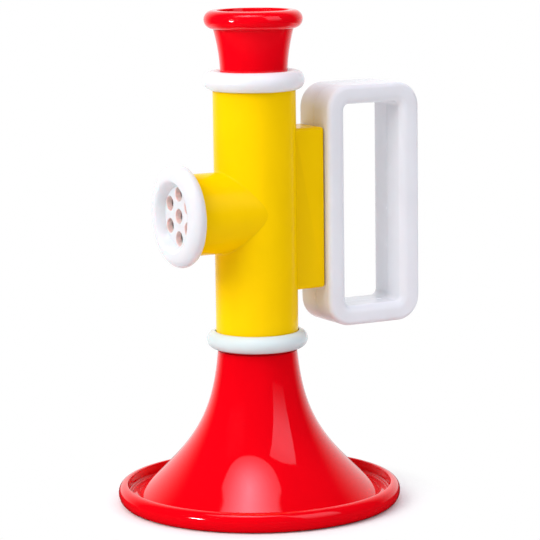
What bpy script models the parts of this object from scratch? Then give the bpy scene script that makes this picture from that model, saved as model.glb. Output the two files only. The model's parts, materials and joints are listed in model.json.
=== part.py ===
"""Toy horn that stands on its bell.

A straight tube runs up the Z axis from a flared bell to a cup mouthpiece, with a ring at each joint.
A side branch along -X ends in a perforated cap with a voice film behind it, and a grip loop
is held on a block along +X. Metres, +Z up, origin on the tube's axis where the bell meets the table.
"""

import math

import bmesh
import bpy

# Fits and mesh fineness
GAP = 0.0003
TURN_STEPS = 40
ROUND_STEPS = 24
CORNER_STEPS = 5

# Main tube and its side branch
TUBE_RADIUS = 0.0150
TUBE_WALL = 0.0018
TUBE_LENGTH = 0.0936
BRANCH_RADIUS = 0.0147
BRANCH_WALL = 0.0020
BRANCH_LENGTH = 0.0286
SEAT_DEPTH = 0.0086
SEAT_LEDGE = 0.0020

# Bell
BELL_HEIGHT = 0.0588
BELL_RADIUS = 0.0517
BELL_WALL = 0.0019
BELL_NECK_STEP = 0.0007
BELL_SPIGOT = 0.0160
FLARE_LENGTH = 0.0129
FLARE_SOFTNESS = 1.65
LIP_WIDTH = 0.0035
LIP_HEIGHT = 0.0072
LIP_WIDEST = 0.0039
LIP_CREST_ROUND = 0.0006
LIP_INNER_FOOT = 0.0008
TROUGH_WIDTH = 0.0030
TROUGH_HEIGHT = 0.0020
TROUGH_FILLET = 0.0008

# Rings at the two joints
LOWER_BEAD = 0.00312
LOWER_OVERHANG = 0.00344
LOWER_WEB = 0.0012
UPPER_BEAD = 0.00353
UPPER_OVERHANG = 0.00328
SKIRT_WALL = 0.0009
SKIRT_DEPTH = 0.0145
SKIRT_LEDGE = 0.0010

# Mouthpiece
MOUTH_LIP_RADIUS = 0.0178
MOUTH_LIP_BEAD = 0.0033
MOUTH_RISE = 0.0218
MOUTH_WALL = 0.0020
MOUTH_SHOULDER = 0.0005
SHOULDER_RISE = 0.0029

# Perforated cap, film and washer
CAP_RADIUS = 0.0185
CAP_CREST_RADIUS = 0.0136
CAP_CREST_HEIGHT = 0.0033
CAP_DISH_RADIUS = 0.0106
CAP_PLATE = 0.0021
CAP_FLANGE = 0.0023
CAP_BACK_ROUND = 0.0015
CAP_SKIRT_WALL = 0.0018
CAP_HOLE_RADIUS = 0.0026
CAP_HOLE_PITCH = 0.0080
CAP_RING_HOLES = 6
FILM_THICKNESS = 0.00025
WASHER_WIDTH = 0.0015
WASHER_THICKNESS = 0.0015

# Handle block on the tube
BLOCK_REACH = 0.0092
BLOCK_HEIGHT = 0.0588
BLOCK_DEPTH = 0.0167
BLOCK_ROUND = 0.0012
RIB_HEIGHT = 0.0400
RIB_THICKNESS = 0.0060
RIB_HEAD_DEPTH = 0.0130
RIB_HEAD_THICKNESS = 0.0024

# Handle loop, in two shells
HANDLE_WIDTH = 0.0387
HANDLE_HEIGHT = 0.0884
HANDLE_DEPTH = 0.0218
HANDLE_SIDE_LEG = 0.0075
HANDLE_END_LEG = 0.0071
HANDLE_OUTER_CORNER = 0.0090
HANDLE_INNER_CORNER = 0.0022
HANDLE_OUTER_ROUND = 0.0017
HANDLE_INNER_ROUND = 0.0030
SHELL_WALL = 0.0016
SHELL_FACE = 0.0018

# Handle screws
SCREW_HEAD_RADIUS = 0.0021
SCREW_HEAD_HEIGHT = 0.0015
SCREW_HEAD_ROUND = 0.0008
SCREW_HEAD_SINK = 0.0002
SCREW_SHANK_RADIUS = 0.0011
SCREW_LENGTH = 0.0165
SCREW_TIP = 0.0012
SCREW_SLOT_LENGTH = 0.0024
SCREW_SLOT_WIDTH = 0.0006
SCREW_SLOT_DEPTH = 0.0008
BOSS_RADIUS = 0.0029

# Stack of heights, from the table up
WEB_BOTTOM_Z = BELL_HEIGHT + GAP
WEB_TOP_Z = WEB_BOTTOM_Z + LOWER_WEB
TUBE_BOTTOM_Z = WEB_TOP_Z + GAP
TUBE_TOP_Z = TUBE_BOTTOM_Z + TUBE_LENGTH
COLLAR_Z = TUBE_TOP_Z + GAP
MID_Z = (TUBE_BOTTOM_Z + TUBE_TOP_Z) / 2.0

# Radii that follow the tube's bore
TUBE_BORE = TUBE_RADIUS - TUBE_WALL
SPIGOT_RADIUS = TUBE_BORE - GAP
SOCKET_RADIUS = SPIGOT_RADIUS - SKIRT_WALL
MOUTH_NECK = SOCKET_RADIUS - GAP
MOUTH_BORE = MOUTH_NECK - MOUTH_WALL
BRANCH_BORE = BRANCH_RADIUS - BRANCH_WALL

# Distances along the branch from the tube's axis
SEAT_X = BRANCH_LENGTH - SEAT_DEPTH
FILM_X = SEAT_X + GAP
WASHER_X = FILM_X + FILM_THICKNESS + GAP
SKIRT_END_X = WASHER_X + WASHER_THICKNESS + GAP
FLANGE_X = BRANCH_LENGTH + GAP
DISH_X = FLANGE_X + CAP_FLANGE

# Handle placement along +X
BLOCK_END_X = TUBE_RADIUS + BLOCK_REACH
HANDLE_START_X = BLOCK_END_X + GAP
HANDLE_MID_X = HANDLE_START_X + HANDLE_WIDTH / 2.0


def clear_scene():
    for item in list(bpy.data.objects):
        bpy.data.objects.remove(item, do_unlink=True)


def new_collection(name):
    collection = bpy.data.collections.new(name)
    bpy.context.scene.collection.children.link(collection)
    return collection


def plastic(name, colour, roughness, metallic=0.0):
    material = bpy.data.materials.new(name)
    material.use_nodes = True
    shader = material.node_tree.nodes["Principled BSDF"]
    shader.inputs["Base Color"].default_value = (*colour, 1.0)
    shader.inputs["Roughness"].default_value = roughness
    shader.inputs["Metallic"].default_value = metallic
    return material


def place(name, mesh, material, location=(0.0, 0.0, 0.0), rotation=(0.0, 0.0, 0.0)):
    item = bpy.data.objects.new(name, mesh)
    item.location = location
    item.rotation_euler = rotation
    item.data.materials.append(material)
    PARTS.objects.link(item)
    return item


def arc(centre, radii, start, end, steps):
    """Points on an ellipse quarter or more, angles in degrees, both ends included."""
    points = []
    for index in range(steps + 1):
        angle = math.radians(start + (end - start) * index / steps)
        points.append((centre[0] + radii[0] * math.cos(angle), centre[1] + radii[1] * math.sin(angle)))
    return points


def profile_mesh(name, profile, closed):
    """Edges through (radius, height) points that run down the outer side of a turned shape."""
    mesh = bpy.data.meshes.new(name)
    count = len(profile)
    edges = [(index, index + 1) for index in range(count - 1)]
    if closed:
        edges.append((count - 1, 0))
    mesh.from_pydata([(radius, 0.0, height) for radius, height in profile], edges, [])
    return mesh


def turned(name, profile, material, closed=True, steps=TURN_STEPS, **placing):
    item = place(name, profile_mesh(name, profile, closed), material, **placing)
    screw = item.modifiers.new("turn", "SCREW")
    screw.angle = math.tau
    screw.steps = steps
    screw.render_steps = steps
    screw.use_merge_vertices = True
    screw.merge_threshold = 0.00001
    screw.use_smooth_shade = True
    return item


def add_cylinders(bm, centres, radius, low, high, axis, segments=ROUND_STEPS):
    """Closed cylinders from low to high along X, Y or Z, through the given centres."""
    for centre in centres:
        made = bmesh.ops.create_cone(
            bm, cap_ends=True, segments=segments, radius1=radius, radius2=radius, depth=high - low
        )
        for vertex in made["verts"]:
            x, y, z = vertex.co
            along = z + (low + high) / 2.0
            if axis == "X":
                vertex.co = (along, y + centre[0], -x + centre[1])
            elif axis == "Y":
                vertex.co = (x + centre[0], along, -y + centre[1])
            else:
                vertex.co = (x + centre[0], y + centre[1], along)


def cylinder_mesh(name, centres, radius, low, high, axis, segments=ROUND_STEPS):
    bm = bmesh.new()
    add_cylinders(bm, centres, radius, low, high, axis, segments)
    bmesh.ops.recalc_face_normals(bm, faces=bm.faces)
    mesh = bpy.data.meshes.new(name)
    bm.to_mesh(mesh)
    bm.free()
    mesh.shade_smooth()
    mesh.set_sharp_from_angle(angle=math.radians(40.0))
    return mesh


def box_mesh(name, low, high):
    bm = bmesh.new()
    bmesh.ops.create_cube(bm, size=1.0)
    for vertex in bm.verts:
        vertex.co = [low[i] + (vertex.co[i] + 0.5) * (high[i] - low[i]) for i in range(3)]
    mesh = bpy.data.meshes.new(name)
    bm.to_mesh(mesh)
    bm.free()
    return mesh


def helper(name, mesh, location=(0.0, 0.0, 0.0), rotation=(0.0, 0.0, 0.0)):
    item = bpy.data.objects.new(name, mesh)
    item.location = location
    item.rotation_euler = rotation
    item.hide_render = True
    item.display_type = "WIRE"
    CUTTERS.objects.link(item)
    return item


def combine(item, operation, tool):
    boolean = item.modifiers.new(tool.name, "BOOLEAN")
    boolean.operation = operation
    boolean.solver = "EXACT"
    boolean.object = tool


def flare_shape(height):
    fall = math.exp(-height / FLARE_LENGTH)
    return fall / (1.0 + FLARE_SOFTNESS * fall)


def flare_radius(height):
    """Outer radius of the bell, from its neck at BELL_HEIGHT to its foot on the trough's floor."""
    neck = TUBE_RADIUS - BELL_NECK_STEP
    foot = BELL_RADIUS - LIP_WIDTH - TROUGH_WIDTH
    start = flare_shape(BELL_HEIGHT)
    share = (flare_shape(height) - start) / (flare_shape(TROUGH_HEIGHT) - start)
    return neck + (foot - neck) * share


def flare_point(height, offset):
    """Point at a distance from the bell's outer surface, along its normal."""
    step = 0.00001
    slope = (flare_radius(height + step) - flare_radius(height - step)) / (2.0 * step)
    length = math.hypot(1.0, slope)
    return flare_radius(height) + offset / length, height - offset * slope / length


def solve_height(reached, low, high):
    """Height where the falling function reached crosses zero."""
    for _ in range(50):
        middle = (low + high) / 2.0
        if reached(middle) > 0.0:
            low = middle
        else:
            high = middle
    return (low + high) / 2.0


def bell_profile():
    lip_inner = BELL_RADIUS - LIP_WIDTH
    crest_r = lip_inner + LIP_CREST_ROUND
    bulge = BELL_RADIUS - crest_r
    under = solve_height(lambda z: LIP_INNER_FOOT - flare_point(z, -BELL_WALL)[1], -0.01, BELL_HEIGHT)
    under_r = flare_point(under, -BELL_WALL)[0]
    spigot_z = BELL_HEIGHT + BELL_SPIGOT
    spigot_bore = SPIGOT_RADIUS - BELL_WALL

    points = [(SPIGOT_RADIUS - GAP, spigot_z), (SPIGOT_RADIUS, spigot_z - 3.0 * GAP)]
    points.append((SPIGOT_RADIUS, BELL_HEIGHT))
    steps = 12
    for index in range(steps + 1):
        share = (1.0 - index / steps) ** 1.6
        points.append(flare_point(TROUGH_HEIGHT + (BELL_HEIGHT - TROUGH_HEIGHT) * share, 0.0))
    fillet_centre = (lip_inner - TROUGH_FILLET, TROUGH_HEIGHT + TROUGH_FILLET)
    points += arc(fillet_centre, (TROUGH_FILLET, TROUGH_FILLET), -90.0, 0.0, 2)
    crest_centre = (crest_r, LIP_HEIGHT - LIP_CREST_ROUND)
    points += arc(crest_centre, (LIP_CREST_ROUND, LIP_CREST_ROUND), 180.0, 90.0, 2)
    points += arc((crest_r, LIP_WIDEST), (bulge, LIP_HEIGHT - LIP_WIDEST), 90.0, 0.0, 5)[1:]
    points += arc((crest_r, LIP_WIDEST), (bulge, LIP_WIDEST), 0.0, -90.0, 5)[1:]
    points.append((under_r + LIP_INNER_FOOT / 2.0, 0.0))
    steps = 10
    for index in range(steps + 1):
        share = (index / steps) ** 1.6
        points.append(flare_point(under + (BELL_HEIGHT - 4.0 * BELL_WALL - under) * share, -BELL_WALL))
    points.append((spigot_bore, BELL_HEIGHT - BELL_WALL))
    points.append((spigot_bore, spigot_z))
    return points


def lower_collar_profile():
    outer = TUBE_RADIUS + LOWER_OVERHANG
    centre = (outer - LOWER_BEAD, WEB_TOP_Z)
    tube_side = TUBE_RADIUS + GAP
    neck_side = flare_radius(WEB_BOTTOM_Z - LOWER_BEAD) + GAP
    top = math.degrees(math.acos((tube_side - centre[0]) / LOWER_BEAD))
    bottom = -math.degrees(math.acos((neck_side - centre[0]) / LOWER_BEAD))
    points = arc(centre, (LOWER_BEAD, LOWER_BEAD), top, bottom, 12)
    points.append((neck_side, WEB_BOTTOM_Z))
    points.append((TUBE_BORE, WEB_BOTTOM_Z))
    points.append((TUBE_BORE, WEB_TOP_Z))
    points.append((tube_side, WEB_TOP_Z))
    return points


def upper_collar_profile():
    outer = TUBE_RADIUS + UPPER_OVERHANG
    centre = (outer - UPPER_BEAD, COLLAR_Z)
    tube_side = TUBE_RADIUS + GAP
    top = math.degrees(math.acos((SOCKET_RADIUS - centre[0]) / UPPER_BEAD))
    bottom = -math.degrees(math.acos((tube_side - centre[0]) / UPPER_BEAD))
    skirt_end = TUBE_TOP_Z - SKIRT_DEPTH
    points = arc(centre, (UPPER_BEAD, UPPER_BEAD), top, bottom, 14)
    points.append((tube_side, COLLAR_Z))
    points.append((SPIGOT_RADIUS, COLLAR_Z))
    points.append((SPIGOT_RADIUS, skirt_end))
    points.append((MOUTH_BORE, skirt_end))
    points.append((MOUTH_BORE, skirt_end + SKIRT_LEDGE))
    points.append((SOCKET_RADIUS, skirt_end + SKIRT_LEDGE))
    return points


def mouthpiece_profile():
    lip_r = MOUTH_LIP_RADIUS - MOUTH_LIP_BEAD
    lip_z = COLLAR_Z + MOUTH_RISE
    flare_z = COLLAR_Z + SHOULDER_RISE
    flare_top = lip_z - MOUTH_LIP_BEAD
    foot_z = TUBE_TOP_Z - SKIRT_DEPTH + SKIRT_LEDGE + GAP
    cup_r = lip_r - MOUTH_LIP_BEAD
    shoulder_r = MOUTH_NECK + MOUTH_SHOULDER

    points = arc((lip_r, lip_z), (MOUTH_LIP_BEAD, MOUTH_LIP_BEAD), 180.0, -90.0, 12)
    steps = 5
    for index in range(1, steps + 1):
        share = 1.0 - index / steps
        radius = shoulder_r + (lip_r - shoulder_r) * share ** 2
        points.append((radius, flare_z + (flare_top - flare_z) * share))
    points.append((MOUTH_NECK, flare_z))
    points.append((MOUTH_NECK, foot_z + GAP))
    points.append((MOUTH_NECK - GAP, foot_z))
    points.append((MOUTH_BORE, foot_z))
    steps = 5
    for index in range(steps):
        share = index / steps
        radius = MOUTH_BORE + (cup_r - MOUTH_BORE) * share ** 2
        points.append((radius, flare_z + (lip_z - flare_z) * share))
    return points


def cap_profile():
    crest_z = DISH_X + CAP_CREST_HEIGHT
    skirt_outer = BRANCH_BORE - GAP
    skirt_inner = skirt_outer - CAP_SKIRT_WALL
    plate_back = DISH_X - CAP_PLATE
    points = [(0.0, DISH_X)]
    steps = 5
    for index in range(steps):
        share = index / steps
        ease = share * share * (3.0 - 2.0 * share)
        radius = CAP_DISH_RADIUS + (CAP_CREST_RADIUS - CAP_DISH_RADIUS) * share
        points.append((radius, DISH_X + CAP_CREST_HEIGHT * ease))
    front = (CAP_RADIUS - CAP_CREST_RADIUS, crest_z - DISH_X)
    points += arc((CAP_CREST_RADIUS, DISH_X), front, 90.0, 0.0, 6)
    back_centre = (CAP_RADIUS - CAP_BACK_ROUND, DISH_X)
    points += arc(back_centre, (CAP_BACK_ROUND, CAP_FLANGE), 0.0, -90.0, 3)[1:]
    points.append((skirt_outer, FLANGE_X))
    points.append((skirt_outer, SKIRT_END_X + GAP))
    points.append((skirt_outer - GAP, SKIRT_END_X))
    points.append((skirt_inner, SKIRT_END_X))
    points.append((skirt_inner, plate_back))
    points.append((0.0, plate_back))
    return points


def corner_loop(half_width, half_height, radius):
    """Rounded rectangle about the handle's middle, as (x, z) points."""
    points = []
    for quarter in range(4):
        sign_x = (1, -1, -1, 1)[quarter]
        sign_z = (1, 1, -1, -1)[quarter]
        centre = (sign_x * (half_width - radius), sign_z * (half_height - radius))
        points += arc(centre, (radius, radius), 90.0 * quarter, 90.0 * (quarter + 1), CORNER_STEPS - 1)
    return points


def outer_loop(inset):
    half_width = HANDLE_WIDTH / 2.0 - inset
    half_height = HANDLE_HEIGHT / 2.0 - inset
    return corner_loop(half_width, half_height, max(HANDLE_OUTER_CORNER - inset, GAP))


def inner_loop(outset):
    half_width = HANDLE_WIDTH / 2.0 - HANDLE_SIDE_LEG + outset
    half_height = HANDLE_HEIGHT / 2.0 - HANDLE_END_LEG + outset
    return corner_loop(half_width, half_height, HANDLE_INNER_CORNER + outset)


def shell_mesh(name, side):
    """Half of the hollow grip loop: closed rings of points, joined ring to ring."""
    face = HANDLE_DEPTH / 2.0
    edge = GAP / 2.0
    ceiling = face - SHELL_FACE
    rings = [(outer_loop(0.0), edge)]
    for depth_in, depth_out in arc((0.0, 0.0), (HANDLE_OUTER_ROUND, HANDLE_OUTER_ROUND), 0.0, 90.0, 3):
        inset = HANDLE_OUTER_ROUND - depth_in
        rings.append((outer_loop(inset), face - HANDLE_OUTER_ROUND + depth_out))
    for depth_in, depth_out in arc((0.0, 0.0), (HANDLE_INNER_ROUND, HANDLE_INNER_ROUND), 90.0, 0.0, 4):
        outset = HANDLE_INNER_ROUND - depth_in
        rings.append((inner_loop(outset), face - HANDLE_INNER_ROUND + depth_out))
    rings.append((inner_loop(0.0), edge))
    rings.append((inner_loop(SHELL_WALL), edge))
    rings.append((inner_loop(SHELL_WALL), ceiling - SHELL_WALL / 2.0))
    rings.append((inner_loop(SHELL_WALL * 1.5), ceiling))
    rings.append((outer_loop(SHELL_WALL * 1.5), ceiling))
    rings.append((outer_loop(SHELL_WALL), ceiling - SHELL_WALL / 2.0))
    rings.append((outer_loop(SHELL_WALL), edge))

    bm = bmesh.new()
    rows = []
    for loop, depth in rings:
        rows.append([bm.verts.new((x + HANDLE_MID_X, side * depth, z + MID_Z)) for x, z in loop])
    for row, following in zip(rows, rows[1:] + rows[:1]):
        for index in range(len(row)):
            after = (index + 1) % len(row)
            bm.faces.new((row[index], row[after], following[after], following[index]))
    bmesh.ops.recalc_face_normals(bm, faces=bm.faces)
    mesh = bpy.data.meshes.new(name)
    bm.to_mesh(mesh)
    bm.free()
    mesh.shade_smooth()
    mesh.set_sharp_from_angle(angle=math.radians(40.0))
    return mesh


def screw_places():
    """Middle of each corner of the loop, between its outer and inner rounds, as (x, z) offsets."""
    cut = 1.0 - math.sqrt(0.5)
    outer = (
        HANDLE_WIDTH / 2.0 - HANDLE_OUTER_CORNER * cut,
        HANDLE_HEIGHT / 2.0 - HANDLE_OUTER_CORNER * cut,
    )
    inner = (
        HANDLE_WIDTH / 2.0 - HANDLE_SIDE_LEG - HANDLE_INNER_CORNER * cut,
        HANDLE_HEIGHT / 2.0 - HANDLE_END_LEG - HANDLE_INNER_CORNER * cut,
    )
    across = (outer[0] + inner[0]) / 2.0
    along = (outer[1] + inner[1]) / 2.0
    return {
        "upper_outer": (across, along),
        "upper_inner": (-across, along),
        "lower_inner": (-across, -along),
        "lower_outer": (across, -along),
    }


def screw_profile():
    points = [(0.0, SCREW_HEAD_HEIGHT)]
    rim = (SCREW_HEAD_RADIUS - SCREW_HEAD_ROUND, SCREW_HEAD_HEIGHT - SCREW_HEAD_ROUND)
    points += arc(rim, (SCREW_HEAD_ROUND, SCREW_HEAD_ROUND), 90.0, 0.0, 3)
    points.append((SCREW_HEAD_RADIUS, 0.0))
    points.append((SCREW_SHANK_RADIUS, 0.0))
    points.append((SCREW_SHANK_RADIUS, SCREW_TIP - SCREW_LENGTH))
    points.append((0.0, -SCREW_LENGTH))
    return points


def build_body():
    body = place(
        "body_tube",
        cylinder_mesh("body_tube", [(0.0, 0.0)], TUBE_RADIUS, TUBE_BOTTOM_Z, TUBE_TOP_Z, "Z", 48),
        YELLOW,
    )
    axis = [(0.0, MID_Z)]
    branch = helper("branch", cylinder_mesh("branch", axis, BRANCH_RADIUS, -BRANCH_LENGTH, 0.0, "X", 40))
    block_low = (0.0, -BLOCK_DEPTH / 2.0, MID_Z - BLOCK_HEIGHT / 2.0)
    block_high = (BLOCK_END_X, BLOCK_DEPTH / 2.0, MID_Z + BLOCK_HEIGHT / 2.0)
    block = helper("block", box_mesh("block", block_low, block_high))
    bevel = block.modifiers.new("edges", "BEVEL")
    bevel.width = BLOCK_ROUND
    bevel.segments = 3
    cavity_x = HANDLE_START_X + SHELL_WALL
    head_low_x = cavity_x + GAP
    head_high_x = head_low_x + RIB_HEAD_THICKNESS
    rib_low = (TUBE_RADIUS, -RIB_THICKNESS / 2.0, MID_Z - RIB_HEIGHT / 2.0)
    rib_high = (head_high_x, RIB_THICKNESS / 2.0, MID_Z + RIB_HEIGHT / 2.0)
    rib = helper("rib", box_mesh("rib", rib_low, rib_high))
    head_low = (head_low_x, -RIB_HEAD_DEPTH / 2.0, rib_low[2])
    head_high = (head_high_x, RIB_HEAD_DEPTH / 2.0, rib_high[2])
    head = helper("rib_head", box_mesh("rib_head", head_low, head_high))
    for tool in (branch, block, rib, head):
        combine(body, "UNION", tool)

    bore_low = TUBE_BOTTOM_Z - TUBE_RADIUS
    bore_high = TUBE_TOP_Z + TUBE_RADIUS
    bore = helper("bore", cylinder_mesh("bore", [(0.0, 0.0)], TUBE_BORE, bore_low, bore_high, "Z", 48))
    throat_radius = BRANCH_BORE - SEAT_LEDGE
    throat = helper(
        "branch_throat", cylinder_mesh("branch_throat", axis, throat_radius, -BRANCH_LENGTH, 0.0, "X", 40)
    )
    socket_low = -BRANCH_LENGTH - BRANCH_WALL
    socket = helper(
        "branch_socket", cylinder_mesh("branch_socket", axis, BRANCH_BORE, socket_low, -SEAT_X, "X", 40)
    )
    for tool in (bore, throat, socket):
        combine(body, "DIFFERENCE", tool)


def build_cap():
    facing = {"location": (0.0, 0.0, MID_Z), "rotation": (0.0, -math.pi / 2.0, 0.0)}
    cap = turned("perforated_cap", cap_profile(), WHITE, closed=False, **facing)
    centres = [(0.0, 0.0)]
    for index in range(CAP_RING_HOLES):
        angle = math.tau * index / CAP_RING_HOLES
        centres.append((CAP_HOLE_PITCH * math.cos(angle), CAP_HOLE_PITCH * math.sin(angle)))
    low = DISH_X - 2.0 * CAP_PLATE
    high = DISH_X + CAP_PLATE
    holes = cylinder_mesh("cap_holes", centres, CAP_HOLE_RADIUS, low, high, "Z", 16)
    combine(cap, "DIFFERENCE", helper("cap_holes", holes, **facing))

    film_radius = BRANCH_BORE - GAP
    film = cylinder_mesh(
        "voice_membrane", [(0.0, 0.0)], film_radius, FILM_X, FILM_X + FILM_THICKNESS, "Z", TURN_STEPS
    )
    place("voice_membrane", film, FILM, **facing)
    top = WASHER_X + WASHER_THICKNESS
    washer = [(film_radius, top), (film_radius, WASHER_X)]
    washer += [(film_radius - WASHER_WIDTH, WASHER_X), (film_radius - WASHER_WIDTH, top)]
    turned("membrane_ring", washer, GREY, **facing)


def build_handle():
    face = HANDLE_DEPTH / 2.0
    centres = [(HANDLE_MID_X + x, MID_Z + z) for x, z in screw_places().values()]
    slot_low = (
        HANDLE_START_X - SHELL_WALL,
        -RIB_THICKNESS / 2.0 - GAP,
        MID_Z - RIB_HEIGHT / 2.0 - GAP,
    )
    slot_high = (
        HANDLE_START_X + SHELL_WALL + GAP,
        RIB_THICKNESS / 2.0 + GAP,
        MID_Z + RIB_HEIGHT / 2.0 + GAP,
    )
    slot = helper("rib_slot", box_mesh("rib_slot", slot_low, slot_high))
    boss_end = face - SHELL_FACE / 2.0
    head_seat = face - SCREW_HEAD_SINK - SCREW_HEAD_HEIGHT - GAP
    tip = head_seat + GAP - SCREW_LENGTH
    drilled = SCREW_SHANK_RADIUS + GAP

    front = place("handle_front_shell", shell_mesh("handle_front_shell", -1.0), WHITE)
    rear = place("handle_rear_shell", shell_mesh("handle_rear_shell", 1.0), WHITE)
    edge = GAP / 2.0
    front_boss = cylinder_mesh("front_bosses", centres, BOSS_RADIUS, -boss_end, -edge, "Y")
    rear_boss = cylinder_mesh("rear_bosses", centres, BOSS_RADIUS, edge, boss_end, "Y")
    combine(front, "UNION", helper("front_bosses", front_boss))
    combine(rear, "UNION", helper("rear_bosses", rear_boss))
    pilot = cylinder_mesh("screw_pilots", centres, drilled, tip - GAP, face, "Y", 12)
    drill = helper("screw_pilots", pilot)
    seats = cylinder_mesh("head_seats", centres, SCREW_HEAD_RADIUS + GAP, head_seat, 2.0 * face, "Y")
    for shell in (front, rear):
        combine(shell, "DIFFERENCE", slot)
        combine(shell, "DIFFERENCE", drill)
    combine(rear, "DIFFERENCE", helper("head_seats", seats))

    for name, (x, z) in screw_places().items():
        facing = {
            "location": (HANDLE_MID_X + x, head_seat + GAP, MID_Z + z),
            "rotation": (-math.pi / 2.0, 0.0, 0.0),
        }
        screw = turned("handle_screw_" + name, screw_profile(), STEEL, closed=False, steps=12, **facing)
        low = SCREW_HEAD_HEIGHT - SCREW_SLOT_DEPTH
        high = SCREW_HEAD_HEIGHT + SCREW_SLOT_DEPTH
        long_way = SCREW_SLOT_LENGTH / 2.0
        short_way = SCREW_SLOT_WIDTH / 2.0
        for label, (x_reach, y_reach) in (
            ("slot_along_" + name, (long_way, short_way)),
            ("slot_across_" + name, (short_way, long_way)),
        ):
            slot_box = box_mesh(label, (-x_reach, -y_reach, low), (x_reach, y_reach, high))
            combine(screw, "DIFFERENCE", helper(label, slot_box, **facing))


clear_scene()
PARTS = new_collection("toy_horn")
CUTTERS = new_collection("toy_horn_cutters")
YELLOW = plastic("yellow_plastic", (0.94, 0.65, 0.002), 0.25)
RED = plastic("red_plastic", (0.84, 0.004, 0.012), 0.22)
WHITE = plastic("white_plastic", (0.85, 0.85, 0.88), 0.30)
MINT = plastic("mint_plastic", (0.74, 0.86, 0.83), 0.30)
GREY = plastic("grey_plastic", (0.35, 0.35, 0.36), 0.50)
FILM = plastic("clear_film", (0.70, 0.55, 0.45), 0.35)
STEEL = plastic("screw_steel", (0.55, 0.55, 0.57), 0.35, 1.0)

turned("bell", bell_profile(), RED)
turned("lower_collar", lower_collar_profile(), MINT)
build_body()
turned("upper_collar", upper_collar_profile(), WHITE)
turned("mouthpiece", mouthpiece_profile(), RED)
build_cap()
build_handle()
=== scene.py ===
import json
import math

import bmesh
import bpy
from mathutils import Matrix, Vector

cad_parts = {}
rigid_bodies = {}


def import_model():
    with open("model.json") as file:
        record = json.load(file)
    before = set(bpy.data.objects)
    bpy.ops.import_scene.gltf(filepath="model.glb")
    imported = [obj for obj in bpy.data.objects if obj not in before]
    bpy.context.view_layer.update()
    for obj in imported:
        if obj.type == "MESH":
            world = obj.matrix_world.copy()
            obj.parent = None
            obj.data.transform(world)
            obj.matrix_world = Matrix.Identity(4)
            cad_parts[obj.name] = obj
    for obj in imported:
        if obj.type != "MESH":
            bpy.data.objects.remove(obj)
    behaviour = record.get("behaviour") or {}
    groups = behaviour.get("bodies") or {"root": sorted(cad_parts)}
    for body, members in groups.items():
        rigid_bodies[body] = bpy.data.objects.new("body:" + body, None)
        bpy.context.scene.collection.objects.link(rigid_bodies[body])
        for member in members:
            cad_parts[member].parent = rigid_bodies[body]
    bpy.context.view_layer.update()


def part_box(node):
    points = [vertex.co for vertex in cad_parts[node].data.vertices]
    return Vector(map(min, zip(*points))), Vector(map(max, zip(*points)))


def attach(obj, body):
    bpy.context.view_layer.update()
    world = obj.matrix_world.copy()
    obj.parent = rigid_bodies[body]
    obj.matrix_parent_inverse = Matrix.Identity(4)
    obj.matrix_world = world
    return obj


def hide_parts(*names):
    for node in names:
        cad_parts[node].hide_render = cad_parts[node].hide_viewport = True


for leftover in list(bpy.data.objects):
    bpy.data.objects.remove(leftover)
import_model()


# Body tube: one injection moulding in gloss yellow plastic, a straight tube with a side branch of nearly the
# same width and a square block opposite it. The branch runs into the tube with a small round, and the block
# ends in a T-shaped rib that the two halves of the grip loop close over.
fit = 0.0003
body_low, body_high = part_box("body_tube")
mid_z = (body_low.z + body_high.z) / 2.0
tube_radius = body_high.y
tube_wall = 0.0018
tube_bore = tube_radius - tube_wall
tube_half = (body_high.z - body_low.z) / 2.0
branch_end = body_low.x
branch_radius = 0.0147
branch_wall = 0.0020
branch_bore = branch_radius - branch_wall
seat_width = 0.0020
branch_throat = branch_bore - seat_width
seat_depth = 0.0086
seat_x = branch_end + seat_depth
junction_round = 0.0009
block_length = 0.0092
block_end = tube_radius + block_length
block_width = 0.0167
block_height = 0.0588
block_round = 0.0012
rib_height = 0.0400
rib_thickness = 0.0060
rib_head = (0.0024, 0.0130)
loop_start = block_end + fit
loop_wall = 0.0016
yellow = (0.930, 0.585, 0.0004)


class Grade:
    """A value in a node tree. Arithmetic on it adds Math nodes, and node() adds any other kind."""

    def __init__(self, tree, socket):
        self.tree = tree
        self.socket = socket

    def node(self, kind, settings=None, sockets=None, output=0):
        made = self.tree.nodes.new(kind)
        for key, value in (settings or {}).items():
            setattr(made, key, value)
        for key, value in (sockets or {}).items():
            if isinstance(value, Grade):
                self.tree.links.new(value.socket, made.inputs[key])
            else:
                made.inputs[key].default_value = value
        return Grade(self.tree, made.outputs[output])

    def maths(self, operation, *others):
        return self.node("ShaderNodeMath", {"operation": operation}, dict(enumerate((self, *others))))

    def __add__(self, other):
        return self.maths("ADD", other)

    def __sub__(self, other):
        return self.maths("SUBTRACT", other)

    def __rsub__(self, other):
        return self.node("ShaderNodeMath", {"operation": "SUBTRACT"}, {0: other, 1: self})

    def __mul__(self, other):
        return self.maths("MULTIPLY", other)

    def __truediv__(self, other):
        return self.maths("DIVIDE", other)

    __radd__ = __add__
    __rmul__ = __mul__

    def parts(self, axes):
        return [self.node("ShaderNodeSeparateXYZ", {}, {0: self}, axis) for axis in axes]

    def kept(self, name):
        """A value that the mesh keeps on its points."""
        return self.node("ShaderNodeAttribute", {"attribute_name": name}, output="Fac")

    def between(self, low, high):
        """Eases from 0 at low to 1 at high."""
        return self.node(
            "ShaderNodeMapRange", {"interpolation_type": "SMOOTHSTEP"}, {0: self, 1: low, 2: high}
        )

    def tint(self, bare, covered):
        """Goes from one colour to another as this value goes from 0 to 1."""
        sockets = {0: self}
        for key, colour in ((6, bare), (7, covered)):
            sockets[key] = colour if isinstance(colour, Grade) else (*colour, 1.0)
        return self.node("ShaderNodeMix", {"data_type": "RGBA"}, sockets, 2)


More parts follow.
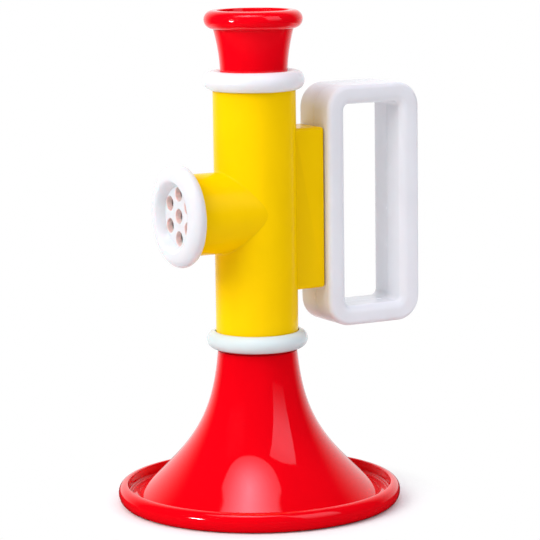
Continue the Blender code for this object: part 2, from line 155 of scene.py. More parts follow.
def start_finish(name):
    """A new material, its node tree and shader, and the place on the piece that its patterns go by."""
    material = bpy.data.materials.new(name)
    material.use_nodes = True
    tree = material.node_tree
    spot = Grade(tree, tree.nodes.new("ShaderNodeTexCoord").outputs["Object"])
    return material, tree, tree.nodes["Principled BSDF"], spot


def moulded(name, colour, roughness, grain, seed, softness=0.0, bending=1.49, seam=None, painted_wall_light=None):
    """Gloss moulded plastic: faint flow marks along the grain, uneven polish, hairline scuffs and dust nibs."""
    material, tree, shader, spot = start_finish(name)
    shader.inputs["IOR"].default_value = bending
    shader.inputs["Subsurface Weight"].default_value = softness
    shader.inputs["Subsurface Radius"].default_value = (1.0, 0.35, 0.30)
    shader.inputs["Subsurface Scale"].default_value = 0.0025

    def noise(scale, shift, detail=2.0, stretch=None):
        place = spot
        if stretch:
            place = spot.node("ShaderNodeMapping", {}, {"Vector": spot, "Scale": stretch})
        sockets = {"Vector": place, "W": seed + shift, "Scale": scale, "Detail": detail}
        return spot.node("ShaderNodeTexNoise", {"noise_dimensions": "4D"}, sockets)

    edge = spot.kept("edge")
    hollow = spot.kept("hollow")
    cloud = noise(38.0, 0.0)
    flow = noise(90.0, 1.0, 3.0, grain)
    worn = noise(160.0, 2.0, 4.0).between(0.46, 0.72)
    across = [1.0, 1.0, 1.0]
    across[list(grain).index(min(grain))] = 30.0
    hairs = noise(260.0, 3.0, 2.0, across).between(0.66, 0.76) * worn
    nibs = spot.node("ShaderNodeTexVoronoi", {}, {"Vector": spot, "Scale": 420.0})
    nibs = (1.0 - nibs.between(0.03, 0.11)) * noise(75.0, 4.0).between(0.55, 0.70)

    deep = [channel * 0.94 for channel in colour]
    pale = [channel * 1.05 + 0.004 for channel in colour]
    # A darker tone of the colour: the real tone of the seam and gate marks, and also painted shade for hollows.
    grime_and_hollow_shade = [channel * 0.72 for channel in colour]
    tone = (cloud * 0.55 + flow * 0.45).between(0.32, 0.68)
    skin = tone.tint(deep, colour)
    skin = (edge * worn * 0.45 + hairs * 0.25).tint(skin, pale)
    # Painted shade: points in hollows and creases are darkened towards the darker tone, as if shade fell there.
    skin = (hollow * (0.35 + 0.65 * cloud) * 0.30).tint(skin, grime_and_hollow_shade)
    polish = roughness * (0.75 + 0.5 * cloud) + 0.10 * hairs + 0.10 * edge * worn + 0.06 * hollow
    waves = noise(130.0, 5.0, 1.0)
    skin_grain = noise(1900.0, 6.0, 2.0)
    height = waves * 1.0 + skin_grain * 0.03 + nibs * 0.2 - hairs * 0.25
    # Painted light: points on the walls of holes take a warm tint that stands in for light scattered into them.
    if painted_wall_light:
        skin = spot.kept("bored").tint(skin, painted_wall_light)
    if seam:
        mark = seam(spot)
        skin = (mark * 0.35).tint(skin, grime_and_hollow_shade)
        polish = polish + 0.12 * mark
        height = height + mark * 2.5
    tree.links.new(skin.socket, shader.inputs["Base Color"])
    tree.links.new(polish.socket, shader.inputs["Roughness"])
    bump = spot.node("ShaderNodeBump", {}, {"Strength": 1.0, "Distance": 0.000006, "Height": height})
    tree.links.new(bump.socket, shader.inputs["Normal"])
    return material


def mark_edges(mesh):
    """Keeps on each point how much it stands out as an edge and how much it lies in a hollow."""
    slight_bend, bend_range = 120.0, 420.0
    bm = bmesh.new()
    bm.from_mesh(mesh)
    bm.normal_update()
    bends = []
    for vertex in bm.verts:
        bend = 0.0
        for link in vertex.link_edges:
            step = vertex.co - link.other_vert(vertex).co
            bend += 2.0 * vertex.normal.dot(step) / max(step.length_squared, 1e-9)
        bends.append(bend / max(len(vertex.link_edges), 1))
    bm.free()
    for name, sign in (("edge", 1.0), ("hollow", -1.0)):
        attribute = mesh.attributes.get(name) or mesh.attributes.new(name, "FLOAT", "POINT")
        marks = [min(max((sign * bend - slight_bend) / bend_range, 0.0), 1.0) for bend in bends]
        attribute.data.foreach_set("value", marks)


def make(name, mesh, finish):
    """Puts a mesh in the scene as a piece with this finish."""
    piece = bpy.data.objects.new(name, mesh)
    bpy.context.scene.collection.objects.link(piece)
    mesh.materials.clear()
    mesh.materials.append(finish)
    return piece


def settle(piece):
    """Turns a piece and its modifiers into one plain mesh."""
    bpy.context.view_layer.update()
    depsgraph = bpy.context.evaluated_depsgraph_get()
    mesh = bpy.data.meshes.new_from_object(piece.evaluated_get(depsgraph))
    piece.modifiers.clear()
    rough = piece.data
    piece.data = mesh
    bpy.data.meshes.remove(rough)


def join(piece, operation, tool):
    """Adds a tool to a piece or cuts it away, and drops the tool."""
    cut = piece.modifiers.new("join", "BOOLEAN")
    cut.operation = operation
    cut.solver = "EXACT"
    cut.object = tool
    settle(piece)
    bpy.data.objects.remove(tool)


def smooth_over(piece):
    """Smooths a piece's faces but for edges over 32 degrees, and marks its edges and hollows for the finish."""
    piece.data.shade_smooth()
    piece.data.set_sharp_from_angle(angle=math.radians(32.0))
    mark_edges(piece.data)


def arc(centre, radii, start, end, steps):
    """Points along an arc between two angles in degrees; radii is one radius, or one across and one up."""
    across, up = radii if isinstance(radii, tuple) else (radii, radii)
    points = []
    for index in range(steps + 1):
        angle = math.radians(start + (end - start) * index / steps)
        points.append((centre[0] + across * math.cos(angle), centre[1] + up * math.sin(angle)))
    return points


def meshed(name, bm):
    """Keeps a worked shape as a mesh."""
    mesh = bpy.data.meshes.new(name)
    bm.to_mesh(mesh)
    bm.free()
    return mesh


def wrap_between(bm, row, following):
    """Closes the band between two rings of points with faces."""
    for index in range(len(row)):
        after = (index + 1) % len(row)
        bm.faces.new((row[index], row[after], following[after], following[index]))


def rows_mesh(name, rows, closed_rows=False):
    """Rings of points joined ring to ring; the first and last are filled unless the rows close on themselves."""
    bm = bmesh.new()
    made = [[bm.verts.new(point) for point in row] for row in rows]
    pairs = list(zip(made, made[1:]))
    if closed_rows:
        pairs.append((made[-1], made[0]))
    else:
        bm.faces.new(made[0])
        bm.faces.new(made[-1])
    for row, following in pairs:
        wrap_between(bm, row, following)
    bmesh.ops.recalc_face_normals(bm, faces=bm.faces)
    return meshed(name, bm)


def rod(name, centres, radius, low, high, axis, finish, steps=96):
    """Plain round bars from low to high along X, Y or Z, used to cut bores and add bosses."""
    bm = bmesh.new()
    turn = {"X": Matrix.Rotation(math.pi / 2.0, 4, "Y"), "Y": Matrix.Rotation(-math.pi / 2.0, 4, "X")}
    size = {"radius1": radius, "radius2": radius, "depth": high - low}
    for centre in centres:
        place = list(centre)
        place.insert("XYZ".index(axis), (low + high) / 2.0)
        stand = Matrix.Translation(place) @ turn.get(axis, Matrix.Identity(4))
        bmesh.ops.create_cone(bm, cap_ends=True, segments=steps, matrix=stand, **size)
    return make(name, meshed(name, bm), finish)


def bar(name, low, high, rounding, finish):
    """A box between two corners, its edges rounded over if asked."""
    bm = bmesh.new()
    bmesh.ops.create_cube(bm, size=1.0)
    for vertex in bm.verts:
        vertex.co = [low[i] + (vertex.co[i] + 0.5) * (high[i] - low[i]) for i in range(3)]
    if rounding:
        bmesh.ops.bevel(bm, geom=bm.edges[:], offset=rounding, segments=6, profile=0.5, affect="EDGES")
    return make(name, meshed(name, bm), finish)


def junction_point(turn, share):
    """Point on the round in the corner between branch and tube; share goes from branch to tube."""
    reach = branch_radius + junction_round
    y, z = reach * math.cos(turn), reach * math.sin(turn)
    x = -math.sqrt((tube_radius + junction_round) ** 2 - y * y)
    to_branch = Vector((0.0, -y, -z)).normalized()
    to_tube = Vector((-x, -y, 0.0)).normalized()
    return Vector((x, y, z)) + to_branch.slerp(to_tube, share) * junction_round


def tube_point(turn, rise):
    """Point on the tube's skin at a turn from the branch and a rise above its middle."""
    return Vector((-tube_radius * math.cos(turn), tube_radius * math.sin(turn), mid_z + rise))


def junction_turn(direction):
    """Turn about the branch at which the round's edge lies in this direction on the unrolled tube."""
    low, high = direction - 0.7, direction + 0.7
    for _ in range(40):
        turn = (low + high) / 2.0
        edge = junction_point(turn, 1.0)
        seen = math.atan2(edge.z, tube_radius * math.asin(edge.y / tube_radius))
        if math.remainder(seen - direction, math.tau) < 0.0:
            low = turn
        else:
            high = turn
    return turn


wrap = math.radians(104.0)
up_steps, round_steps, back_steps = 48, 56, 48
branch_rows, corner_rows, skin_rows = 13, 10, 30
skin_crowding = 1.4
levels = [tube_half * (2.0 * i / up_steps - 1.0) for i in range(up_steps + 1)]
bearings = [wrap * (1.0 - 2.0 * i / round_steps) for i in range(round_steps)]
border = [(wrap, rise) for rise in levels[:-1]] + [(turn, tube_half) for turn in bearings]
border += [(-wrap, -rise) for rise in levels[:-1]] + [(-turn, -tube_half) for turn in bearings]
turns = [junction_turn(math.atan2(rise, tube_radius * turn)) for turn, rise in border]

bm = bmesh.new()
rows = []
for step in range(branch_rows + 1):
    share = step / branch_rows
    row = []
    for turn in turns:
        edge = junction_point(turn, 0.0)
        edge.x = branch_end + (edge.x - branch_end) * share
        row.append(edge)
    rows.append(row)
for step in range(1, corner_rows + 1):
    rows.append([junction_point(turn, step / corner_rows) for turn in turns])
for row in rows:
    for point in row:
        point.z += mid_z
for step in range(1, skin_rows + 1):
    share = (step / skin_rows) ** skin_crowding
    row = []
    for turn, (edge_turn, edge_rise) in zip(turns, border):
        edge = junction_point(turn, 1.0)
        start_turn = math.asin(edge.y / tube_radius)
        row.append(
            tube_point(start_turn + (edge_turn - start_turn) * share, edge.z + (edge_rise - edge.z) * share)
        )
    rows.append(row)
made = [[bm.verts.new(point) for point in row] for row in rows]
for row, following in zip(made, made[1:]):
    wrap_between(bm, row, following)
rim = made[-1]
near = rim[: up_steps + 1]
far = list(reversed(rim[up_steps + round_steps : 2 * up_steps + round_steps + 1]))
columns = [near]
for step in range(1, back_steps):
    turn = wrap + (math.tau - 2.0 * wrap) * step / back_steps
    columns.append([bm.verts.new(tube_point(turn, rise)) for rise in levels])
columns.append(far)
for column, following in zip(columns, columns[1:]):
    for index in range(up_steps):
        bm.faces.new((column[index], following[index], following[index + 1], column[index + 1]))
top = rim[up_steps : up_steps + round_steps + 1]
bottom = rim[2 * up_steps + round_steps :] + [rim[0]]
bm.faces.new(top + [column[-1] for column in reversed(columns[1:-1])])
bm.faces.new(bottom + [column[0] for column in columns[1:-1]])
bm.faces.new(made[0])
bmesh.ops.recalc_face_normals(bm, faces=bm.faces)


def tube_seam(spot):
    """Hairline where the two halves of the tube's mould met, in the plane of branch and block."""
    (across,) = spot.parts("Y")
    return 1.0 - across.maths("ABSOLUTE").between(0.00003, 0.00011)


yellow_plastic = moulded("yellow_plastic", yellow, 0.16, (1.0, 1.0, 0.14), 3.1, bending=1.15, seam=tube_seam)
horn_tube = make("horn_tube", meshed("horn_tube", bm), yellow_plastic)
block_reach = Vector((0.0, block_width / 2.0, block_height / 2.0))
middle = Vector((0.0, 0.0, mid_z))
block_high = middle + block_reach
block_high.x = block_end
join(horn_tube, "UNION", bar("block", middle - block_reach, block_high, block_round, yellow_plastic))
head_x = loop_start + loop_wall + fit
rib_half = Vector((0.0, rib_thickness / 2.0, rib_height / 2.0))
low, high = middle - rib_half, middle + rib_half
low.x, high.x = tube_radius, head_x + rib_head[0]
join(horn_tube, "UNION", bar("rib", low, high, 0.0, yellow_plastic))
low.x, low.y, high.y = head_x, -rib_head[1] / 2.0, rib_head[1] / 2.0
join(horn_tube, "UNION", bar("rib_head", low, high, 0.0, yellow_plastic))
axis = [(0.0, mid_z)]
for cutter in (
    ("bore", [(0.0, 0.0)], tube_bore, mid_z - 2.0 * tube_half, mid_z + 2.0 * tube_half, "Z"),
    ("throat", axis, branch_throat, branch_end, 0.0, "X"),
    ("socket", axis, branch_bore, 2.0 * branch_end, seat_x, "X"),
):
    join(horn_tube, "DIFFERENCE", rod(*cutter, yellow_plastic))
smooth_over(horn_tube)
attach(horn_tube, "horn_body")
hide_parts("body_tube")


# Upper collar: white ring, round in section, that closes the top of the tube. It is turned about the tube's
# axis in the mould, with a skirt pressed into the bore and a ledge inside for the mouthpiece to stand on.
collar_z = body_high.z + fit
upper_bead = 0.00353
upper_overhang = 0.00328
skirt_radius = tube_bore - fit
skirt_wall = 0.0009
socket_radius = skirt_radius - skirt_wall
skirt_length = 0.0145
skirt_end = body_high.z - skirt_length
ledge = 0.0010
ledge_width = 0.0020
ledge_bore = socket_radius - fit - ledge_width
white = (0.788, 0.790, 0.818)


def open_tree(name, inputs):
    """Starts a geometry tree and gives its inputs as values; each input is a name and a kind of socket."""
    tree = bpy.data.node_groups.new(name, "GeometryNodeTree")
    for label, kind in inputs:
        tree.interface.new_socket(label, in_out="INPUT", socket_type="NodeSocket" + kind)
    tree.interface.new_socket("Piece", in_out="OUTPUT", socket_type="NodeSocketGeometry")
    given = tree.nodes.new("NodeGroupInput")
    return [Grade(tree, given.outputs[label]) for label, kind in inputs]


def close_tree(shape, finish):
    """Gives the shape its finish and leads it out of its tree."""
    tree = shape.tree
    real = shape.node("GeometryNodeRealizeInstances", {}, {0: shape})
    dressed = shape.node("GeometryNodeSetMaterial", {}, {"Geometry": real, "Material": finish})
    tree.links.new(dressed.socket, tree.nodes.new("NodeGroupOutput").inputs[0])
    return tree


def turning_tree():
    """Turns an outline of (radius, 0, height) points round the Z axis; the seam and any pole are welded."""
    outline, steps, finish = open_tree(
        "turning", (("Outline", "Geometry"), ("Steps", "Int"), ("Finish", "Material"))
    )
    count = outline.node("GeometryNodeAttributeDomainSize", {}, {0: outline}, "Point Count")
    around = steps + 1.0
    sheet = outline.node("GeometryNodeMeshGrid", {}, {"Vertices X": count, "Vertices Y": around})
    index = outline.node("GeometryNodeInputIndex")
    row = ((index + 0.5) / around).maths("FLOOR")
    angle = (index - row * around) / steps * math.tau
    position = outline.node("GeometryNodeInputPosition")
    found = outline.node(
        "GeometryNodeSampleIndex",
        {"data_type": "FLOAT_VECTOR"},
        {"Geometry": outline, "Value": position, "Index": row},
    )
    radius, height = found.parts("XZ")
    x, y = radius * angle.maths("COSINE"), radius * angle.maths("SINE")
    turned = outline.node("ShaderNodeCombineXYZ", {}, {0: x, 1: y, 2: height})
    skin = outline.node("GeometryNodeSetPosition", {}, {"Geometry": sheet, "Position": turned})
    welded = outline.node("GeometryNodeMergeByDistance", {}, {"Geometry": skin, "Distance": 0.000001})
    return close_tree(welded, finish)


turning = turning_tree()


def grow(piece, tree, **values):
    """Runs a geometry tree on a piece and keeps its result as a plain mesh."""
    modifier = piece.modifiers.new(tree.name, "NODES")
    modifier.node_group = tree
    for item in tree.interface.items_tree:
        if item.name in values:
            modifier[item.identifier] = values[item.name]
    settle(piece)


def turned(name, outline, finish, steps=160, place=None):
    """Makes a piece by turning an outline of (radius, height) points, and lays it in its place."""
    mesh = bpy.data.meshes.new(name)
    mesh.from_pydata([(radius, 0.0, height) for radius, height in outline], [], [])
    piece = make(name, mesh, finish)
    grow(piece, turning, Steps=steps, Finish=finish)
    bm = bmesh.new()
    bm.from_mesh(piece.data)
    if place:
        bm.transform(place)
    bmesh.ops.recalc_face_normals(bm, faces=bm.faces)
    bm.to_mesh(piece.data)
    bm.free()
    smooth_over(piece)
    return piece


bead = (tube_radius + upper_overhang - upper_bead, collar_z)
tube_side = tube_radius + fit
top = math.degrees(math.acos((socket_radius - bead[0]) / upper_bead))
bottom = -math.degrees(math.acos((tube_side - bead[0]) / upper_bead))
outline = arc(bead, upper_bead, top, bottom, 56)
outline += [(tube_side, collar_z), (skirt_radius, collar_z), (skirt_radius, skirt_end + fit)]
outline += [(skirt_radius - fit, skirt_end), (ledge_bore, skirt_end), (ledge_bore, skirt_end + ledge)]
outline += [(socket_radius, skirt_end + ledge), outline[0]]
white_plastic = moulded("white_plastic", white, 0.20, (1.0, 1.0, 0.3), 7.7, softness=0.45)
upper_ring = turned("upper_ring", outline, white_plastic)
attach(upper_ring, "horn_body")
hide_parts("upper_collar")


# Mouthpiece: red gloss moulding turned about its axis, a short neck that pushes into the white ring and flares
# up to a fat rolled lip round a shallow cup. It pulls straight out for washing.
mouth_neck = socket_radius - fit
mouth_wall = 0.0020
mouth_bore = mouth_neck - mouth_wall
mouth_flare = 1.8
mouth_lip = 0.0178
mouth_bead = 0.0033
lip_z = collar_z + 0.0218
lip_edge = 0.0129
lip_edge_round = 0.0005
shoulder_r = mouth_neck + 0.0005
shoulder_z = collar_z + 0.0029
foot_z = skirt_end + ledge + fit
red = (0.880, 0.0004, 0.0070)

lip_r = mouth_lip - mouth_bead
lip_top = lip_z + mouth_bead
edge_centre = (lip_edge + lip_edge_round, lip_top - lip_edge_round)
outline = arc(edge_centre, lip_edge_round, 180.0, 90.0, 8)
outline += arc((lip_r, lip_z), mouth_bead, 90.0, -90.0, 36)
for step in range(1, 25):
    share = 1.0 - step / 24.0
    radius = shoulder_r + (lip_r - shoulder_r) * share ** mouth_flare
    outline.append((radius, shoulder_z + (lip_z - mouth_bead - shoulder_z) * share))
outline += [(mouth_neck, shoulder_z), (mouth_neck, foot_z + fit), (mouth_neck - fit, foot_z)]
outline.append((mouth_bore, foot_z))
for step in range(25):
    share = step / 24.0
    radius = mouth_bore + (lip_edge - mouth_bore) * share ** 2
    outline.append((radius, shoulder_z + (edge_centre[1] - shoulder_z) * share))
red_plastic = moulded("red_plastic", red, 0.07, (1.0, 1.0, 0.12), 5.3)
mouth_cup = turned("mouth_cup", outline, red_plastic)
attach(mouth_cup, "mouthpiece")
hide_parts("mouthpiece")


# Voice film and its washer: a disc of thin waxed film laid on the step inside the branch and held flat by a
# grey moulded washer. The film is pulled taut, so it shows faint creases that run out to the clamped rim.
film_x = -seat_x + fit
film_thickness = 0.00025
film_radius = branch_bore - fit
crease_height = 0.00006
washer_width = 0.0015
washer_thickness = 0.0015
nose = 0.0003
film_tan = (0.610, 0.360, 0.315)
grey = (0.330, 0.330, 0.340)

facing = Matrix.Translation((0.0, 0.0, mid_z)) @ Matrix.Rotation(-math.pi / 2.0, 4, "Y")
rows = []
for side in (0, 1):
    radii = [film_radius * step / 24.0 for step in range(1, 25)]
    for radius in radii if side else reversed(radii):
        row = []
        for step in range(120):
            angle = math.tau * step / 120
            free = max(0.0, 1.0 - (radius / (film_radius - washer_width)) ** 2)
            crease = crease_height * free * math.sin(7.0 * angle + 2.0 * math.sin(3.0 * angle))
            point = Vector((radius * math.cos(angle), radius * math.sin(angle), film_x + crease))
            point.z += film_thickness * side
            row.append(facing @ point)
        rows.append(row)
film_finish = moulded("waxed_film", film_tan, 0.30, (0.2, 1.0, 1.0), 11.9, softness=0.2)
voice_film = make("voice_film", rows_mesh("voice_film", list(reversed(rows))), film_finish)
smooth_over(voice_film)
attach(voice_film, "horn_body")
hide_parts("voice_membrane")

washer_low = film_x + film_thickness + fit
washer_high = washer_low + washer_thickness
inner = film_radius - washer_width
outline = arc((film_radius - nose, washer_high - nose), nose, 90.0, 0.0, 6)
outline += arc((film_radius - nose, washer_low + nose), nose, 0.0, -90.0, 6)
outline += arc((inner + nose, washer_low + nose), nose, -90.0, -180.0, 6)
outline += arc((inner + nose, washer_high - nose), nose, 180.0, 90.0, 6)
outline.append(outline[0])
grey_plastic = moulded("grey_plastic", grey, 0.45, (0.3, 1.0, 1.0), 2.2)
film_washer = turned("film_washer", outline, grey_plastic, 96, facing)
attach(film_washer, "horn_body")
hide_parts("membrane_ring")


# Perforated cap: white moulding that pushes into the branch over the film. A dished plate with one hole in
# the middle and six round it lets the hum out, inside a fat rounded rim that is easy to grip.
cap_radius = 0.0185
crest_radius = 0.0134
crest_height = 0.0033
dish_radius = 0.0107
plate = 0.0021
flange = 0.0023
back_round = 0.0015
cap_skirt = branch_bore - fit
cap_wall = 0.0018
cap_skirt_inner = cap_skirt - cap_wall
cap_skirt_end = washer_high + fit
ring_holes = 6
hole_pitch = 0.0080
hole_radius = 0.0023
hole_draft = 0.0006
hole_round = 0.00025
# Painted light: a warm tint for the hole walls, standing in for light scattered through the white plastic.
painted_hole_light = (0.740, 0.550, 0.510)
cap_white = (0.735, 0.740, 0.765)

flange_x = -branch_end + fit
dish_x = flange_x + flange
plate_mid = dish_x - plate / 2.0
outline = [(0.0, dish_x), (dish_radius * 0.5, dish_x)]
for step in range(20):
    share = step / 20.0
    rise = crest_height * math.sin(share * math.pi / 2.0)
    outline.append((dish_radius + (crest_radius - dish_radius) * share, dish_x + rise))
outline += arc((crest_radius, dish_x), (cap_radius - crest_radius, crest_height), 90.0, 0.0, 24)
outline += arc((cap_radius - back_round, dish_x), (back_round, flange), 0.0, -90.0, 12)[1:]
outline += [(cap_skirt, flange_x), (cap_skirt, cap_skirt_end + fit), (cap_skirt - fit, cap_skirt_end)]
outline += [(cap_skirt_inner, cap_skirt_end), (cap_skirt_inner, dish_x - plate), (0.0, dish_x - plate)]


def perforating_tree():
    """Cuts one hole on the axis and a ring of holes round it, each wider in front and with softened edges."""
    plate, ring, pitch, radius, level, thickness, draft, edge, finish = open_tree(
        "perforating",
        (
            ("Plate", "Geometry"), ("Ring Holes", "Int"), ("Pitch", "Float"), ("Hole Radius", "Float"),
            ("Middle", "Float"), ("Thickness", "Float"), ("Draft", "Float"), ("Edge Round", "Float"),
            ("Finish", "Material"),
        ),
    )
    sizes = {"Vertices": 48, "Side Segments": 40, "Radius": 1.0, "Depth": thickness * 2.0}
    punch = plate.node("GeometryNodeMeshCylinder", {"fill_type": "NGON"}, sizes)
    x, y, z = plate.node("GeometryNodeInputPosition").parts("XYZ")
    past = (z.maths("ABSOLUTE") - thickness * 0.5 + edge) / edge
    past = past.maths("MAXIMUM", 0.0).maths("MINIMUM", 1.0)
    wide = radius + draft * z / thickness + edge * (1.0 - (1.0 - past * past).maths("SQRT"))
    shaped = plate.node("ShaderNodeCombineXYZ", {}, {0: x * wide, 1: y * wide, 2: z})
    punch = plate.node("GeometryNodeSetPosition", {}, {"Geometry": punch, "Position": shaped})
    circle = plate.node("GeometryNodeMeshCircle", {}, {"Vertices": ring, "Radius": pitch})
    points = plate.node("GeometryNodeJoinGeometry", {}, {0: circle})
    one = plate.node("GeometryNodeMeshLine", {}, {"Count": 1})
    plate.tree.links.new(one.socket, points.socket.node.inputs[0])
    punches = plate.node("GeometryNodeInstanceOnPoints", {}, {"Points": points, "Instance": punch})
    punches = plate.node("GeometryNodeRealizeInstances", {}, {0: punches})
    lift = plate.node("ShaderNodeCombineXYZ", {}, {2: level})
    punches = plate.node("GeometryNodeTransform", {}, {"Geometry": punches, "Translation": lift})
    holed = plate.node(
        "GeometryNodeMeshBoolean", {"operation": "DIFFERENCE", "solver": "EXACT"}, {0: plate, 1: punches}
    )
    return close_tree(holed, finish)


cap_plastic = moulded("cap_plastic", cap_white, 0.20, (0.3, 1.0, 1.0), 4.6, softness=0.50, painted_wall_light=painted_hole_light)
voice_cap = turned("voice_cap", outline, cap_plastic)
grow(
    voice_cap,
    perforating_tree(),
    **{"Ring Holes": ring_holes, "Pitch": hole_pitch, "Hole Radius": hole_radius, "Middle": plate_mid},
    **{"Thickness": plate, "Draft": hole_draft, "Edge Round": hole_round, "Finish": cap_plastic},
)
hole_turn = math.tau / ring_holes
# Marks the points on the hole walls, where the painted warm light goes.
bored = []
for vertex in voice_cap.data.vertices:
    x, y, z = vertex.co
    turn = round(math.atan2(y, x) / hole_turn) * hole_turn
    to_ring_hole = math.hypot(x - hole_pitch * math.cos(turn), y - hole_pitch * math.sin(turn))
    in_hole = min(math.hypot(x, y), to_ring_hole) < hole_radius + hole_draft
    bored.append(float(in_hole and abs(z - plate_mid) < plate / 2.0 - 0.2 * hole_round))
voice_cap.data.attributes.new("bored", "FLOAT", "POINT").data.foreach_set("value", bored)
voice_cap.data.transform(facing)
smooth_over(voice_cap)
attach(voice_cap, "cap")
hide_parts("perforated_cap")


# Grip loop: a rounded rectangular handle moulded in white as two hollow halves that meet half way through its
# depth. They close over the block's rib, and bosses in their corners take the four screws.
loop_low, loop_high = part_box("handle_front_shell")
loop_face = -loop_low.y
loop_mid_x = (loop_low.x + loop_high.x) / 2.0
loop_half = ((loop_high.x - loop_low.x) / 2.0, (loop_high.z - loop_low.z) / 2.0)
side_leg = 0.0075
end_leg = 0.0071
outer_corner = 0.0090
inner_corner = 0.0022
outer_round = 0.0017
inner_round = 0.0030
shell_face = 0.0018
meeting = 0.00004
edge_break = (0.00008, 0.00012)
draft = 0.00018
boss_radius = 0.0029
screw_radius = 0.0011
screw_head = 0.0021
screw_length = 0.0165
head_height = 0.0015
head_sunk = 0.0002
head_seat = loop_face - head_sunk - head_height - fit
screw_tip = head_seat + fit - screw_length
gate_offsets = (-0.0023, -0.0011)
gate_rise = 0.0017
gate_radii = (0.00016, 0.00034)
loop_white = (0.815, 0.818, 0.850)


def corner_loop(half_width, half_height, radius):
    """Outline of a rectangle with rounded corners."""
    points = []
    for quarter, (sign_x, sign_z) in enumerate(((1, 1), (-1, 1), (-1, -1), (1, -1))):
        centre = (sign_x * (half_width - radius), sign_z * (half_height - radius))
        points += arc(centre, radius, 90.0 * quarter, 90.0 * (quarter + 1), 14)
    return points


def outer_loop(inset):
    return corner_loop(loop_half[0] - inset, loop_half[1] - inset, max(outer_corner - inset, fit))


def inner_loop(outset):
    half_width = loop_half[0] - side_leg + outset
    return corner_loop(half_width, loop_half[1] - end_leg + outset, inner_corner + outset)


def loop_half_mesh(name, side):
    """One half of the loop as rings of points, from the outer meeting edge over the face to the inside."""
    ceiling = loop_face - shell_face
    inset, depth = edge_break
    rings = [(outer_loop(inset), meeting), (outer_loop(0.0), meeting + depth)]
    for inward, outward in arc((0.0, 0.0), outer_round, 0.0, 90.0, 10):
        rings.append((outer_loop(outer_round - inward), loop_face - outer_round + outward))
    for inward, outward in arc((0.0, 0.0), (inner_round, inner_round - draft), 90.0, 0.0, 12):
        rings.append((inner_loop(inner_round - inward + draft * outward), loop_face - inner_round + outward))
    rings += [(inner_loop(0.0), meeting + depth), (inner_loop(inset), meeting)]
    rings += [(inner_loop(loop_wall), meeting), (inner_loop(loop_wall), ceiling - loop_wall / 2.0)]
    rings += [(inner_loop(loop_wall * 1.5), ceiling), (outer_loop(loop_wall * 1.5), ceiling)]
    rings += [(outer_loop(loop_wall), ceiling - loop_wall / 2.0), (outer_loop(loop_wall), meeting)]
    rows = [[(x + loop_mid_x, side * y, z + mid_z) for x, z in loop] for loop, y in rings]
    return rows_mesh(name, rows, closed_rows=True)


corner_cut = (outer_corner + inner_corner) * (1.0 - math.sqrt(0.5))
screw_across = loop_half[0] - (side_leg + corner_cut) / 2.0
screw_along = loop_half[1] - (end_leg + corner_cut) / 2.0
corners = [
    (loop_mid_x + x * screw_across, mid_z + z * screw_along) for x, z in ((1, 1), (-1, 1), (-1, -1), (1, -1))
]


def gate_marks(spot):
    """Two pin-prick gate marks low on the near face of the loop."""
    total = None
    for offset in gate_offsets:
        gate = (loop_mid_x + offset, -loop_face, mid_z - loop_half[1] + gate_rise)
        gap = spot.node("ShaderNodeVectorMath", {"operation": "DISTANCE"}, {0: spot, 1: gate}, "Value")
        mark = 1.0 - gap.between(*gate_radii)
        total = mark if total is None else total + mark
    return total


loop_plastic = moulded("loop_plastic", loop_white, 0.20, (1.0, 1.0, 0.25), 9.4, softness=0.10, seam=gate_marks)
slot_half = rib_half + Vector((0.0, fit, fit))
slot_low, slot_high = middle - slot_half, middle + slot_half
slot_low.x, slot_high.x = loop_start - loop_wall, loop_start + loop_wall + fit
boss_end = loop_face - shell_face / 2.0
for name, node, side in (("near_half", "handle_front_shell", -1.0), ("far_half", "handle_rear_shell", 1.0)):
    half = make(name, loop_half_mesh(name, side), loop_plastic)
    span = sorted((side * meeting, side * boss_end))
    join(half, "UNION", rod("bosses", corners, boss_radius, *span, "Y", loop_plastic, 48))
    join(half, "DIFFERENCE", bar("rib_slot", slot_low, slot_high, 0.0, loop_plastic))
    drill = rod("drill", corners, screw_radius + fit, screw_tip - fit, loop_face, "Y", loop_plastic, 36)
    join(half, "DIFFERENCE", drill)
    if side > 0.0:
        seat = ("seats", corners, screw_head + fit, head_seat, 2.0 * loop_face, "Y", loop_plastic, 48)
        join(half, "DIFFERENCE", rod(*seat))
    smooth_over(half)
    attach(half, "horn_body")
    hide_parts(node)


# Loop screws: four small self-tapping screws of plated steel, driven from the far side through the bosses.
# The pan heads sit in round counterbores just under the face and have a cross recess.
steel = (0.560, 0.562, 0.575)
tarnished = (0.42, 0.42, 0.44)
bright = (0.80, 0.80, 0.82)
screw_sides = 36
thread_rows = 120
thread_pitch = 0.0008
thread_height = 0.00022
thread_flank = 0.28
thread_start = 0.0004
core_radius = screw_radius - 0.00012
tip_taper = 0.0022
tip_flat = 0.0002
head_round = 0.0008
head_flat = 0.0004
recess_long = 0.0012
recess_short = 0.0003
recess_depth = 0.0008

screw_finish, tree, shader, spot = start_finish("plated_steel")
shader.inputs["Metallic"].default_value = 1.0
tarnish = spot.node("ShaderNodeTexNoise", {}, {"Vector": spot, "Scale": 700.0, "Detail": 4.0})
rubbed = spot.kept("edge")
colour = tarnish.between(0.35, 0.70).tint(tarnished, steel)
colour = (rubbed * 0.5).tint(colour, bright)
tree.links.new(colour.socket, shader.inputs["Base Color"])
tree.links.new((0.24 + 0.22 * tarnish).socket, shader.inputs["Roughness"])
fine = spot.node("ShaderNodeTexNoise", {}, {"Vector": spot, "Scale": 5000.0})
bump = spot.node("ShaderNodeBump", {}, {"Distance": 0.000004, "Height": fine})
tree.links.new(bump.socket, shader.inputs["Normal"])

